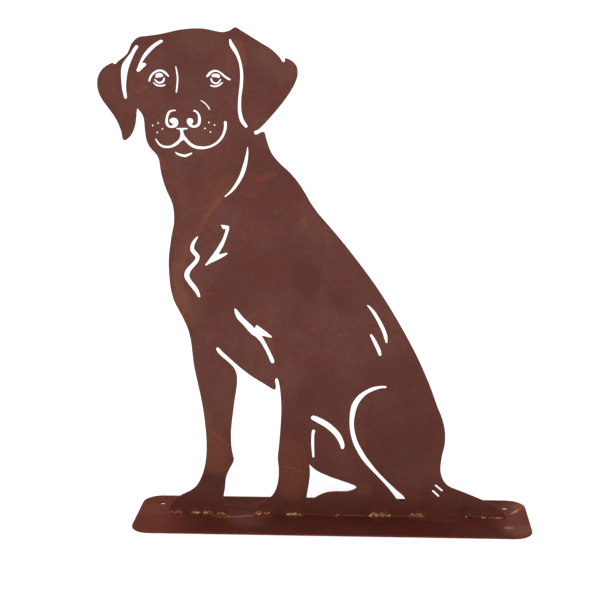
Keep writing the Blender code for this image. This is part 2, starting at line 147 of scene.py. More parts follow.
@dataclass
class Graph:
    """A node tree with short calls that add its nodes and join them."""

    tree: bpy.types.NodeTree

    def node(self, kind: str, **settings: object) -> bpy.types.Node:
        """Adds a node.

        Args:
            kind: The node's type name.
            settings: Values of the node's own properties.

        Returns:
            The new node.
        """
        made = self.tree.nodes.new(kind)
        for name, value in settings.items():
            setattr(made, name, value)
        return made

    def feed(self, socket: bpy.types.NodeSocket, value: object) -> None:
        """Joins an input to an output, or sets its value.

        Args:
            socket: The input.
            value: An output to join, or a plain value.
        """
        if isinstance(value, bpy.types.NodeSocket):
            self.tree.links.new(value, socket)
        elif socket.type == "RGBA":
            socket.default_value = (*value, 1.0)
        else:
            socket.default_value = value

    def math(self, operation: str, *values: object, clamp: bool = False) -> bpy.types.NodeSocket:
        """Works out a number from others.

        Args:
            operation: The operation's name.
            values: Its numbers, in order.
            clamp: Whether the result stays between 0 and 1.

        Returns:
            The result's socket.
        """
        made = self.node("ShaderNodeMath", operation=operation, use_clamp=clamp)
        for socket, value in zip(made.inputs, values):
            self.feed(socket, value)
        return made.outputs[0]

    def times(self, first: object, *others: object) -> bpy.types.NodeSocket:
        """Multiplies numbers.

        Args:
            first: The first number.
            others: The others.

        Returns:
            The product's socket.
        """
        for other in others:
            first = self.math("MULTIPLY", first, other)
        return first

    def vector(self, operation: str, *values: object) -> bpy.types.Node:
        """Works out a vector or a number from vectors.

        Args:
            operation: The operation's name.
            values: Its vectors, in order, and last the scale where it has one.

        Returns:
            The node, whose first output is a vector and whose second is a number.
        """
        made = self.node("ShaderNodeVectorMath", operation=operation)
        sockets = [socket for socket in made.inputs if socket.enabled]
        for socket, value in zip(sockets, values):
            self.feed(socket, value)
        return made

    def spread(
        self, value: object, low: object, high: object, start: object = 0.0, end: object = 1.0
    ) -> bpy.types.NodeSocket:
        """Moves a value smoothly from one range to another and keeps it inside.

        Args:
            value: What is moved.
            low: The value that becomes the start.
            high: The value that becomes the end.
            start: The result at low.
            end: The result at high.

        Returns:
            The result's socket.
        """
        made = self.node("ShaderNodeMapRange", interpolation_type="SMOOTHSTEP")
        for socket, number in zip(made.inputs[:5], (value, low, high, start, end)):
            self.feed(socket, number)
        return made.outputs[0]

    def blend(
        self, share: object, first: object, second: object, how: str = "MIX"
    ) -> bpy.types.NodeSocket:
        """Mixes two colours.

        Args:
            share: The share of the second.
            first: The first colour.
            second: The second colour.
            how: The blend's kind.

        Returns:
            The result's socket.
        """
        made = self.node("ShaderNodeMix", data_type="RGBA", blend_type=how)
        colours = [socket for socket in made.inputs if socket.type == "RGBA"]
        self.feed(made.inputs[0], share)
        self.feed(colours[0], first)
        self.feed(colours[1], second)
        return next(socket for socket in made.outputs if socket.type == "RGBA")

    def cloud(
        self,
        place: object,
        size: float,
        detail: float = 4.0,
        rough: float = 0.55,
        warp: float = 0.0,
    ) -> bpy.types.NodeSocket:
        """Cloudy noise from 0 to 1.

        Args:
            place: Where it is read.
            size: The size of one cloud.
            detail: How many finer octaves it has.
            rough: How strong the finer octaves are.
            warp: How far it folds into itself.

        Returns:
            The noise's socket.
        """
        made = self.node("ShaderNodeTexNoise")
        self.feed(made.inputs["Vector"], place)
        made.inputs["Scale"].default_value = 1.0 / size
        made.inputs["Detail"].default_value = detail
        made.inputs["Roughness"].default_value = rough
        made.inputs["Distortion"].default_value = warp
        return made.outputs["Fac"]

    def group(self, shared: bpy.types.NodeTree, **values: object) -> bpy.types.Node:
        """Places a shared group with its own values.

        Args:
            shared: The group's tree.
            values: Its inputs by name.

        Returns:
            The group's node.
        """
        made = self.node("ShaderNodeGroup", node_tree=shared)
        for name, value in values.items():
            self.feed(made.inputs[name], value)
        return made

    def height(self, place: object) -> bpy.types.NodeSocket:
        """Works out how high a place is.

        Args:
            place: The place.

        Returns:
            The height's socket.
        """
        made = self.node("ShaderNodeSeparateXYZ")
        self.feed(made.inputs[0], place)
        return made.outputs["Z"]

    def relief(self, shader: bpy.types.Node, height: object, share: float, depth: float) -> None:
        """Gives a shader a fine relief.

        Args:
            shader: The shader.
            height: How high the surface is.
            share: How strongly the relief shows.
            depth: How deep it is.
        """
        bump = self.node("ShaderNodeBump")
        bump.inputs["Strength"].default_value = share
        bump.inputs["Distance"].default_value = depth
        self.feed(bump.inputs["Height"], height)
        self.feed(shader.inputs["Normal"], bump.outputs["Normal"])


def start_material(name: str) -> tuple[bpy.types.Material, Graph, bpy.types.Node]:
    """Starts a material.

    Args:
        name: The material's name.

    Returns:
        The material, its graph and its shader.
    """
    made = bpy.data.materials.new(name)
    made.use_nodes = True
    return made, Graph(made.node_tree), made.node_tree.nodes["Principled BSDF"]


def shared_group(
    name: str, inputs: dict[str, str], outputs: dict[str, str]
) -> tuple[Graph, Sockets, Sockets]:
    """Starts a shader node group.

    Args:
        name: The group's name.
        inputs: The kind of each input by its name: Float, Vector or Color.
        outputs: The kind of each output by its name.

    Returns:
        Its graph, the sockets that it is given and the sockets that it fills.
    """
    tree = bpy.data.node_groups.new(name, "ShaderNodeTree")
    for title, kind in inputs.items():
        tree.interface.new_socket(title, in_out="INPUT", socket_type=f"NodeSocket{kind}")
    for title, kind in outputs.items():
        tree.interface.new_socket(title, in_out="OUTPUT", socket_type=f"NodeSocket{kind}")
    graph = Graph(tree)
    entry = graph.node("NodeGroupInput")
    leave = graph.node("NodeGroupOutput")
    given = {title: entry.outputs[title] for title in inputs}
    return graph, given, {title: leave.inputs[title] for title in outputs}


@dataclass(frozen=True)
class Pattern:
    """The sizes, in metres, of what rust, cutting and welding left on the steel.

    A span says where a noise begins to show and where it shows in full.
    """

    clouds: float = 0.110
    cloud_span: Span = (0.38, 0.62)
    blotches: float = 0.034
    blotch_span: Span = (0.38, 0.64)
    runs: float = 0.009
    run_span: Span = (0.44, 0.68)
    run_stretch: float = 0.16
    grain: float = 0.0024
    pits: float = 0.0026
    pit_span: Span = (0.06, 0.34)
    pit_fields: float = 0.014
    field_span: Span = (0.54, 0.66)
    ragged_edges: float = 0.0065
    sway: float = 0.0050
    other_face: Place = (1.7, 0.9, 2.3)
    grooves: float = 0.0009
    scorch_ring: Span = (0.0015, 0.0040)
    tint_ring: Span = (0.0030, 0.0110)


@dataclass
class SharedEffects:
    """The node groups that more than one finish uses."""

    rust: bpy.types.NodeTree
    stroke: bpy.types.NodeTree
    flame_cut: bpy.types.NodeTree
    weld_heat: bpy.types.NodeTree

    @classmethod
    def build(cls, pattern: Pattern, runs: list[tuple[Vector, Vector]]) -> "SharedEffects":
        """Makes every group once.

        Args:
            pattern: The sizes of what they show.
            runs: Each weld bead's start and end on the joint.

        Returns:
            The groups.
        """
        stroke = cls.stroke_group()
        rust = cls.rust_group(pattern)
        flame_cut = cls.flame_cut_group(pattern)
        return cls(rust, stroke, flame_cut, cls.weld_heat_group(pattern, stroke, runs))

    @staticmethod
    def rust_group(pattern: Pattern) -> bpy.types.NodeTree:
        """Makes rust in clouds, blotches, fine grain and pits, unlike on a sheet's two faces.

        Args:
            pattern: The sizes of what it shows.

        Returns:
            The group.
        """
        strengths = ("Clouds", "Blotches", "Runs", "Grain", "Pits")
        graph, given, filled = shared_group(
            "rust",
            {"Position": "Vector", "Through": "Vector", "Middle": "Float"},
            {"Place": "Vector"} | {name: "Float" for name in strengths},
        )
        depth = graph.vector("DOT_PRODUCT", given["Position"], given["Through"]).outputs[1]
        behind = graph.math("GREATER_THAN", depth, given["Middle"])
        shift = graph.vector("SCALE", pattern.other_face, behind).outputs[0]
        place = graph.vector("ADD", given["Position"], shift).outputs[0]
        clouds = graph.cloud(place, pattern.clouds, detail=3.0, rough=0.5, warp=0.6)
        blotches = graph.cloud(place, pattern.blotches, detail=5.0, rough=0.62, warp=1.0)
        stretched = graph.node("ShaderNodeMapping")
        graph.feed(stretched.inputs["Vector"], place)
        stretched.inputs["Scale"].default_value = (1.0, 1.0, pattern.run_stretch)
        runs = graph.cloud(stretched.outputs[0], pattern.runs, detail=3.0, rough=0.6)
        grain = graph.cloud(place, pattern.grain, detail=5.0, rough=0.72)
        dimples = graph.node("ShaderNodeTexVoronoi", feature="F1")
        graph.feed(dimples.inputs["Vector"], place)
        dimples.inputs["Scale"].default_value = 1.0 / pattern.pits
        dimple = graph.spread(dimples.outputs["Distance"], *pattern.pit_span, 1.0, 0.0)
        fields = graph.cloud(place, pattern.pit_fields, detail=2.0)
        sparse = graph.spread(fields, *pattern.field_span)
        graph.feed(filled["Clouds"], graph.spread(clouds, *pattern.cloud_span))
        graph.feed(filled["Blotches"], graph.spread(blotches, *pattern.blotch_span))
        graph.feed(filled["Runs"], graph.spread(runs, *pattern.run_span))
        graph.feed(filled["Grain"], grain)
        graph.feed(filled["Pits"], graph.times(dimple, sparse))
        ragged = graph.node("ShaderNodeTexNoise")
        graph.feed(ragged.inputs["Vector"], place)
        ragged.inputs["Scale"].default_value = 1.0 / pattern.ragged_edges
        ragged.inputs["Detail"].default_value = 3.0
        sway = graph.vector("SUBTRACT", ragged.outputs["Color"], (0.5, 0.5, 0.5)).outputs[0]
        sway = graph.vector("SCALE", sway, pattern.sway).outputs[0]
        graph.feed(filled["Place"], graph.vector("ADD", place, sway).outputs[0])
        return graph.tree

    @staticmethod
    def stroke_group() -> bpy.types.NodeTree:
        """Makes a soft mark that is an ellipse round its two ends.

        Returns:
            The group.
        """
        inputs = {name: "Vector" for name in ("Place", "Start", "End")}
        inputs |= {name: "Float" for name in ("Full", "None", "Strength")}
        graph, given, filled = shared_group("stroke", inputs, {"Mask": "Float"})
        first = graph.vector("DISTANCE", given["Place"], given["Start"]).outputs[1]
        second = graph.vector("DISTANCE", given["Place"], given["End"]).outputs[1]
        path = graph.math("ADD", first, second)
        mask = graph.spread(path, given["Full"], given["None"], given["Strength"], 0.0)
        graph.feed(filled["Mask"], mask)
        return graph.tree

    @staticmethod
    def flame_cut_group(pattern: Pattern) -> bpy.types.NodeTree:
        """Makes the fine grooves that the cutting leaves across a sheet's thickness.

        Args:
            pattern: The sizes of what it shows.

        Returns:
            The group.
        """
        graph, given, filled = shared_group(
            "flame_cut", {"Position": "Vector", "Stretch": "Vector"}, {"Grooves": "Float"}
        )
        stretched = graph.vector("MULTIPLY", given["Position"], given["Stretch"]).outputs[0]
        grooves = graph.cloud(stretched, pattern.grooves, detail=3.0, rough=0.6)
        graph.feed(filled["Grooves"], grooves)
        return graph.tree

    @staticmethod
    def weld_heat_group(
        pattern: Pattern, stroke: bpy.types.NodeTree, runs: list[tuple[Vector, Vector]]
    ) -> bpy.types.NodeTree:
        """Makes the marks that the weld's heat leaves round it: a scorch and a wider tint.

        Args:
            pattern: The sizes of what it shows.
            stroke: The group of one mark.
            runs: Each weld bead's start and end on the joint.

        Returns:
            The group.
        """
        graph, given, filled = shared_group(
            "weld_heat", {"Place": "Vector"}, {"Scorch": "Float", "Tint": "Float"}
        )
        for name, ring in (("Scorch", pattern.scorch_ring), ("Tint", pattern.tint_ring)):
            total: object = 0.0
            for start, end in runs:
                mask = Patch(start, end, *ring).mask(graph, stroke, given["Place"])
                total = graph.math("MAXIMUM", total, mask)
            graph.feed(filled[name], total)
        return graph.tree


# Marks


@dataclass(frozen=True)
class Patch:
    """A soft ellipse round the line between two places."""

    start: Vector
    end: Vector
    half_width: float
    fade: float
    strength: float = 1.0

    def path(self, offset: float) -> float:
        """The way from end to end of the patch by a place beside its middle.

        Args:
            offset: How far beside its middle the place is.

        Returns:
            The way's length.
        """
        return 2.0 * math.hypot(offset, 0.5 * (self.end - self.start).length)

    def mask(self, graph: Graph, stroke: bpy.types.NodeTree, place: object) -> bpy.types.NodeSocket:
        """Works out how strong the patch is.

        Args:
            graph: The graph that it is placed in.
            stroke: The group of one mark.
            place: Where it is read.

        Returns:
            The patch's strength there.
        """
        made = graph.group(stroke, Place=place, Start=self.start, End=self.end)
        graph.feed(made.inputs["Full"], self.path(self.half_width))
        graph.feed(made.inputs["None"], self.path(self.half_width + self.fade))
        graph.feed(made.inputs["Strength"], self.strength)
        return made.outputs["Mask"]


@dataclass(frozen=True)
class Mark(Patch):
    """A patch of another colour on the best face of a sheet: rust, and in places painted shade and
    light.
    """

    tone: Tone = Tone.WARM
    crisp: bool = False


def on_dog(point: Point) -> Vector:
    """A place on the dog's front, from millimetres along the base and above it."""
    return Vector((point[0] * MM, SHEET_FRONT, BASE_TOP + point[1] * MM))


def on_base(point: Point) -> Vector:
    """A place on the base's top, from millimetres along the base and back from its middle."""
    return Vector((point[0] * MM, point[1] * MM, BASE_TOP))


@dataclass(frozen=True)
class Stroke:
    """A line of another colour, rust and in places painted shade and light: its points, width and
    fade are in millimetres.

    A crisp stroke has a smooth edge instead of a ragged one.
    """

    points: list[Point]
    width: float
    fade: float
    strength: float
    tone: Tone
    crisp: bool = False

    def marks(self, place: Callable[[Point], Vector]) -> list[Mark]:
        """Splits the stroke into marks that join end to end.

        Args:
            place: What puts a point onto the sheet.

        Returns:
            One mark for each stretch, or one for a lone point.
        """
        places = [place(point) for point in self.points]
        half_width, fade = self.width * MM / 2, self.fade * MM
        return [
            Mark(start, end, half_width, fade, self.strength, self.tone, self.crisp)
            for start, end in zip(places, places[1:] or places)
        ]


# The warm places on the ears and the head, and one streak beside the left eye.
HEAD_STROKES = (
    Stroke([(-121, 580), (-118, 560), (-113, 540)], 4, 8, 0.09, Tone.WARM),
    Stroke([(-110, 586), (-101, 556)], 4, 6, 0.16, Tone.ORANGE),
    Stroke([(-62, 521), (-57, 526)], 3, 4, 0.20, Tone.RED),
    Stroke([(-250, 508), (-249, 497)], 4, 7, 0.10, Tone.WARM),
    Stroke([(-230, 524), (-216, 533)], 1, 2, 0.18, Tone.ORANGE),
    Stroke([(-226, 544), (-223, 550)], 2, 4, 0.12, Tone.ORANGE),
    Stroke([(-170, 590), (-135, 587)], 10, 24, 0.12, Tone.DUST),
    Stroke([(-266, 552), (-259, 517)], 8, 16, 0.05, Tone.DUST),
    Stroke([(-81, 574), (-46, 548)], 12, 20, 0.10, Tone.DUST),
    Stroke([(-195, 470), (-150, 476)], 16, 20, 0.08, Tone.DUST),
    Stroke([(-172, 545), (-154, 522)], 14, 20, 0.08, Tone.COOL),
    Stroke([(-102, 470), (-88, 462)], 10, 16, 0.10, Tone.DARK),
)

# The long streak down the throat and the fainter ones round it.
NECK_STROKES = (
    Stroke([(-121, 414), (-142, 388), (-166, 352)], 1.6, 2.6, 0.10, Tone.ORANGE, crisp=True),
    Stroke([(-132, 401), (-150, 377)], 1.6, 2.6, 0.12, Tone.ORANGE, crisp=True),
    Stroke([(-118, 426), (-136, 402)], 8, 10, 0.16, Tone.WARM),
    Stroke([(-136, 402), (-163, 357)], 4, 8, 0.10, Tone.WARM),
    Stroke([(-166, 352), (-183, 312)], 4, 7, 0.12, Tone.STRAW),
    Stroke([(-168, 442), (-160, 425)], 14, 20, 0.10, Tone.DARK),
    Stroke([(-208, 449), (-197, 437)], 2, 5, 0.12, Tone.ORANGE),
    Stroke([(-132, 456)], 2, 3, 0.16, Tone.RED),
    Stroke([(-136, 448)], 2, 3, 0.14, Tone.RED),
    Stroke([(-166, 412), (-140, 436)], 1, 2.5, 0.16, Tone.RED),
    Stroke([(-157, 403), (-130, 427)], 1, 2.5, 0.12, Tone.RED),
    Stroke([(-150, 422), (-126, 431)], 6, 10, 0.09, Tone.RED),
)

# The orange band on the shoulder, the red field under it and small spots.
SHOULDER_STROKES = (
    Stroke([(-111, 412), (-82, 419)], 14, 12, 0.10, Tone.RED),
    Stroke([(-93, 421), (-64, 430)], 1.5, 4.5, 0.12, Tone.ORANGE),
    Stroke([(-100, 403), (-88, 403)], 1.5, 4, 0.11, Tone.ORANGE),
    Stroke([(-67, 384)], 2, 3, 0.14, Tone.ORANGE),
    Stroke([(-34, 375), (-30, 370)], 2, 4, 0.14, Tone.STRAW),
    Stroke([(-23, 362)], 2, 3, 0.12, Tone.RED),
    Stroke([(-93, 329)], 2, 3, 0.12, Tone.ORANGE),
    Stroke([(-129, 336)], 2, 3, 0.14, Tone.ORANGE),
)

# The broad warm patch down the chest's edge, and the body's spots and darker fields; the broadest
# dark field, on the hind body, is painted shade on the side away from the light.
CHEST_STROKES = (
    Stroke([(-179, 343), (-186, 319), (-185, 290)], 4, 9, 0.08, Tone.STRAW),
    Stroke([(-187, 322), (-187, 296)], 8, 10, 0.12, Tone.DUST),
    Stroke([(-185, 290), (-181, 261)], 10, 10, 0.18, Tone.STRAW),
    Stroke([(-178, 264), (-171, 244)], 5, 9, 0.13, Tone.STRAW),
    Stroke([(-164, 313), (-161, 275)], 4, 8, 0.08, Tone.WARM),
    Stroke([(-158, 284), (-145, 283)], 1.5, 2.5, 0.10, Tone.WARM),
    Stroke([(-134, 242)], 3, 3, 0.16, Tone.RED),
    Stroke([(-78, 238), (-73, 214)], 3, 5, 0.16, Tone.ORANGE),
    Stroke([(15, 284)], 1.5, 2, 0.36, Tone.RED),
    Stroke([(-11, 296), (-10, 245)], 3, 8, 0.015, Tone.PALE),
    Stroke([(-32, 323), (-28, 289)], 16, 18, 0.16, Tone.DARK),
    Stroke([(16, 277)], 14, 14, 0.14, Tone.DARK),
    Stroke([(25, 202)], 16, 14, 0.10, Tone.COOL),
    Stroke([(-32, 161), (-39, 150)], 12, 14, 0.14, Tone.DARK),
    # Painted shade: the hind body is darker on the side away from the light.
    Stroke([(78, 200), (86, 80)], 46, 46, 0.13, Tone.DARK),
)

# The warm lower legs with the fine lines over them, the darker ankle and the hind foot.
LEG_STROKES = (
    Stroke([(-135, 185), (-140, 139)], 10, 12, 0.14, Tone.COOL),
    Stroke([(-157, 139), (-151, 108)], 3, 5, 0.16, Tone.WARM),
    Stroke([(-148, 104), (-143, 58)], 22, 14, 0.20, Tone.WARM),
    Stroke([(-155, 114), (-126, 89)], 0.8, 1.3, 0.13, Tone.ORANGE, crisp=True),
    Stroke([(-155, 101), (-132, 78)], 0.8, 1.3, 0.12, Tone.ORANGE, crisp=True),
    Stroke([(-159, 45), (-137, 45)], 6, 10, 0.34, Tone.DARK),
    Stroke([(-60, 65), (-32, 57)], 1, 1.5, 0.18, Tone.ORANGE, crisp=True),
    Stroke([(-52, 92), (-50, 26)], 20, 20, 0.14, Tone.WARM),
    Stroke([(-51, 50), (-50, 26)], 10, 14, 0.07, Tone.ORANGE),
    Stroke([(32, 120), (42, 90)], 3, 6, 0.08, Tone.WARM),
    Stroke([(29, 37), (50, 32)], 5, 8, 0.12, Tone.WARM),
    Stroke([(80, 30), (115, 23)], 5, 6, 0.16, Tone.RED),
    Stroke([(118, 6), (152, 5)], 5, 7, 0.14, Tone.RED),
    Stroke([(160, 10), (182, 8)], 6, 8, 0.30, Tone.DARK),
)

# The thin straw, orange and red lines where the weld's heat ran on along the joint.
SEAM_STROKES = (
    Stroke([(12, 0.6), (45, 0.6)], 0.9, 0.8, 0.55, Tone.STRAW, crisp=True),
    Stroke([(74, 0.5), (94, 0.5)], 0.9, 0.8, 0.48, Tone.STRAW, crisp=True),
    Stroke([(-40, 0.5), (0, 0.5)], 0.8, 1.0, 0.22, Tone.ORANGE, crisp=True),
    Stroke([(120, 0.6), (150, 0.6)], 0.8, 1.1, 0.45, Tone.RED, crisp=True),
)

# The lighter ends of the base, partly painted light where the middle is left darker in the dog's
# shade and reflection, the scratches on it and the stains beside the welds.
BASE_STROKES = (
    # Partly painted light: the ends are lighter than the middle, which the dog shades and is
    # reflected in.
    Stroke([(-250, -60), (-250, 60)], 66, 80, 0.44, Tone.LIGHT),
    Stroke([(-250, -60), (-250, 60)], 60, 70, 0.13, Tone.RED),
    Stroke([(-245, 10), (-205, 20)], 10, 24, 0.05, Tone.ORANGE),
    Stroke([(252, -60), (252, 60)], 44, 40, 0.85, Tone.LIGHT),
    Stroke([(222, -38), (240, -38)], 14, 20, 0.04, Tone.PALE),
    Stroke([(-112, -16), (-92, -22)], 16, 26, 0.35, Tone.LIGHT),
    Stroke([(-240, 40), (240, 40)], 18, 16, 0.18, Tone.LIGHT),
    # Bare-metal scratch painted pale grey: its brightness is a painted sheen, since the base has no
    # metallic shine.
    Stroke([(-135, -13), (-97, -4)], 1.0, 0.9, 0.70, Tone.GREY, crisp=True),
    Stroke([(-95, -3), (-88, -2)], 1.0, 1.4, 0.60, Tone.ORANGE),
    # Painted sheen on bare metal: the pale streak and the grey smear near the right end.
    Stroke([(225, 14), (234, 27)], 3.2, 1.4, 0.40, Tone.PALE),
    Stroke([(232, 25), (236, 30)], 2.0, 1.0, 0.45, Tone.PALE, crisp=True),
    Stroke([(213, -32), (222, -32)], 2.4, 4.0, 0.62, Tone.GREY),
    Stroke([(236, 34), (240, 48)], 6, 9, 0.34, Tone.ORANGE),
    Stroke([(52, -17), (66, -18)], 2, 4, 0.22, Tone.RED),
    Stroke([(-206, -5), (-182, -9)], 3, 6, 0.14, Tone.ORANGE),
    Stroke([(-150, -5), (-128, -7)], 4, 6, 0.44, Tone.ORANGE),
    Stroke([(-92, -4), (-76, -5)], 4, 7, 0.20, Tone.ORANGE),
    Stroke([(112, -6), (160, -6)], 8, 10, 0.44, Tone.LIGHT),
    Stroke([(160, -6), (182, -6)], 4, 7, 0.12, Tone.RED),
    Stroke([(190, -10), (212, -10)], 8, 10, 0.14, Tone.LIGHT),
)


# Finishes


@dataclass(frozen=True)
class LowRustAndShade:
    """A darker colour that fades out up a sheet: rust, and painted shade that darkens the lower
    sheet in place of the sheen on the upper one.
    """

    colour: Colour
    top: float
    share: float


@dataclass(frozen=True)
class RustedSheet:
    """Brown rust on a steel sheet, with rust of its own on the cut edges.

    A share says how much of a colour shows, and a shade multiplies the colour under it.
    """

    name: str
    through: Through
    middle: float
    body: Colour
    light: Colour
    red: Colour
    olive: Colour
    edge: Colour
    scorch: Colour
    tint: Colour
    marks: tuple[Mark, ...]
    low: tuple[LowRustAndShade, ...] = ()
    gloss: float = 0.10
    roughness: Span = (0.66, 0.80)
    blotch_share: float = 0.55
    run_share: float = 0.15
    edge_share: float = 0.80
    tint_share: float = 0.36
    scorch_share: float = 0.55
    groove_span: Span = (0.35, 0.70)
    groove_stretch: float = 0.12
    groove_depth: float = 2.0
    grain_span: Span = (0.22, 0.78)
    grain_shade: Span = (0.84, 1.16)
    pit_shade: float = 0.22
    relief_share: float = 0.40
    relief_depth: float = 0.00014

    def material(self, effects: SharedEffects) -> bpy.types.Material:
        """Builds the finish.

        Args:
            effects: The shared groups.

        Returns:
            The material.
        """
        made, graph, shader = start_material(self.name)
        place = graph.node("ShaderNodeTexCoord").outputs["Object"]
        rust = graph.group(
            effects.rust, Position=place, Through=self.through.value, Middle=self.middle
        )
        stretch = tuple(self.groove_stretch if axis else 1.0 for axis in self.through.value)
        grooves = graph.group(effects.flame_cut, Position=place, Stretch=stretch).outputs["Grooves"]
        edge = graph.node("ShaderNodeAttribute", attribute_name=EDGE_LAYER).outputs["Fac"]
        colour = self.patina(graph, effects, place, rust)
        cut = graph.blend(graph.spread(grooves, *self.groove_span), self.edge, self.body)
        colour = graph.blend(graph.times(edge, self.edge_share), colour, cut)
        graph.feed(shader.inputs["Base Color"], self.grained(graph, rust, colour))
        roughness = graph.spread(rust.outputs["Blotches"], 0.0, 1.0, *self.roughness)
        graph.feed(shader.inputs["Roughness"], roughness)
        shader.inputs["Metallic"].default_value = 0.0
        shader.inputs["Specular IOR Level"].default_value = self.gloss
        grain = graph.math("SUBTRACT", rust.outputs["Grain"], rust.outputs["Pits"])
        cuts = graph.times(grooves, edge)
        height = graph.math("MULTIPLY_ADD", cuts, self.groove_depth, grain)
        graph.relief(shader, height, self.relief_share, self.relief_depth)
        return made

    def patina(
        self, graph: Graph, effects: SharedEffects, place: object, rust: bpy.types.Node
    ) -> bpy.types.NodeSocket:
        """Works out the colour on the faces, without its grain: rust, with the painted shade and
        light of the low fades and some marks.

        Args:
            graph: The material's graph.
            effects: The shared groups.
            place: Where the material is read.
            rust: The rust group's node.

        Returns:
            The colour.
        """
        out = rust.outputs
        colour = graph.blend(out["Clouds"], self.body, self.light)
        colour = graph.blend(graph.times(out["Blotches"], self.blotch_share), colour, self.red)
        colour = graph.blend(graph.times(out["Runs"], self.run_share), colour, self.olive)
        for low in self.low:
            mask = graph.spread(graph.height(place), 0.0, low.top, low.share, 0.0)
            colour = graph.blend(mask, colour, low.colour)
        for mark in self.marks:
            share = mark.mask(graph, effects.stroke, place if mark.crisp else out["Place"])
            colour = graph.blend(share, colour, seen(*mark.tone.value))
        heat = graph.group(effects.weld_heat, Place=out["Place"]).outputs
        colour = graph.blend(graph.times(heat["Tint"], self.tint_share), colour, self.tint)
        return graph.blend(graph.times(heat["Scorch"], self.scorch_share), colour, self.scorch)

    def grained(self, graph: Graph, rust: bpy.types.Node, colour: object) -> bpy.types.NodeSocket:
        """Shades a colour by the rust's grain and pits.

        Args:
            graph: The material's graph.
            rust: The rust group's node.
            colour: The colour.

        Returns:
            The shaded colour.
        """
        shade = graph.spread(rust.outputs["Grain"], *self.grain_span, *self.grain_shade)
        shade = graph.math("SUBTRACT", shade, graph.times(rust.outputs["Pits"], self.pit_shade))
        return graph.blend(1.0, colour, shade, how="MULTIPLY")


@dataclass(frozen=True)
class Threshold:
    """The noise at which patches of a metal show, lower the larger their share is."""

    start: float
    drop: float
    below: float
    above: float

    def span(self, share: float) -> Span:
        """Where the patches begin to show and where they show in full."""
        line = self.start - self.drop * share
        return line - self.below, line + self.above


@dataclass(frozen=True)
class WeldMetal:
    """Weld metal in patches: dark crust, orange rust, straw-coloured metal and painted glints, a
    near-white highlight colour on metallic specks.

    Its toe is the foot of a bead, where crust gathers. All of a bead lies in front of
    its middle, so that it has one pattern all round.
    """

    look: Look
    crust: Colour = seen(64, 31, 20)
    orange: Colour = seen(156, 86, 48)
    straw: Colour = seen(176, 130, 84)
    # Painted highlight: a near-white colour on the metallic specks that stands in for glints of
    # light.
    painted_glint: Colour = linear(206, 192, 162)
    patch_size: float = 0.0046
    speck_size: float = 0.0019
    speck_pull: float = 0.6
    orange_line: Threshold = Threshold(0.60, 0.24, 0.07, 0.07)
    straw_line: Threshold = Threshold(0.66, 0.30, 0.05, 0.07)
    painted_glint_line: Threshold = Threshold(0.72, 0.30, 0.05, 0.05)
    toe: Span = (0.0004, 0.0018)
    toe_share: float = 0.75
    grain_span: Span = (0.25, 0.75)
    grain_shade: Span = (0.70, 1.25)
    shine: float = 0.85
    roughness: Span = (0.72, 0.42)
    gloss: float = 0.25
    relief_share: float = 0.6
    relief_depth: float = 0.00025
    middle: float = 1.0

    def material(self, effects: SharedEffects) -> bpy.types.Material:
        """Builds the finish.

        Args:
            effects: The shared groups.

        Returns:
            The material.
        """
        orange_share, straw_share, painted_glint_share = self.look.value
        made, graph, shader = start_material(f"weld_{self.look.name.lower()}")
        place = graph.node("ShaderNodeTexCoord").outputs["Object"]
        rust = graph.group(
            effects.rust, Position=place, Through=Through.BACKWARD.value, Middle=self.middle
        )
        patches = graph.cloud(place, self.patch_size, detail=3.0, rough=0.6, warp=0.4)
        specks = graph.cloud(place, self.speck_size, detail=3.0, rough=0.62)
        orange = graph.spread(specks, *self.orange_line.span(orange_share))
        colour = graph.blend(orange, self.crust, self.orange)
        speckle = graph.math("SUBTRACT", specks, 0.5)
        mixed = graph.math("MULTIPLY_ADD", speckle, self.speck_pull, patches)
        straw = graph.spread(mixed, *self.straw_line.span(straw_share))
        colour = graph.blend(straw, colour, self.straw)
        # Painted glints: the highlight colour is laid on the straw patches where the fine specks
        # peak, and made metallic there.
        painted_glints = graph.spread(specks, *self.painted_glint_line.span(painted_glint_share))
        painted_glint_mask = graph.times(painted_glints, straw)
        colour = graph.blend(painted_glint_mask, colour, self.painted_glint)
        low, high = (BASE_TOP + rise for rise in self.toe)
        toe = graph.spread(graph.height(place), low, high, self.toe_share, 0.0)
        colour = graph.blend(toe, colour, self.crust)
        shade = graph.spread(rust.outputs["Grain"], *self.grain_span, *self.grain_shade)
        graph.feed(shader.inputs["Base Color"], graph.blend(1.0, colour, shade, how="MULTIPLY"))
        graph.feed(shader.inputs["Metallic"], graph.times(painted_glint_mask, self.shine))
        graph.feed(shader.inputs["Roughness"], graph.spread(straw, 0.0, 1.0, *self.roughness))
        shader.inputs["Specular IOR Level"].default_value = self.gloss
        graph.relief(shader, specks, self.relief_share, self.relief_depth)
        return made


@dataclass(frozen=True)
class FloorPaper:
    """The pale matt paper that the studio's floor is covered with."""

    colour: Colour = (0.97, 0.97, 0.97)
    roughness: float = 0.9
    gloss: float = 0.1

    def material(self) -> bpy.types.Material:
        """Builds the finish.

        Returns:
            The material.
        """
        made, _, shader = start_material("floor_paper")
        shader.inputs["Base Color"].default_value = (*self.colour, 1.0)
        shader.inputs["Roughness"].default_value = self.roughness
        shader.inputs["Specular IOR Level"].default_value = self.gloss
        return made


# Pieces


def add_piece(
    name: str, shape: bmesh.types.BMesh, material: bpy.types.Material
) -> bpy.types.Object:
    """Turns a finished shape into an object at the origin.

    Args:
        name: The object's name.
        shape: Its shape, in place, which is used up.
        material: Its finish.

    Returns:
        The object.
    """
    mesh = bpy.data.meshes.new(name)
    shape.to_mesh(mesh)
    shape.free()
    mesh.materials.append(material)
    piece = bpy.data.objects.new(name, mesh)
    bpy.context.scene.collection.objects.link(piece)
    LOG.info("%s: %d faces", name, len(mesh.polygons))
    return piece


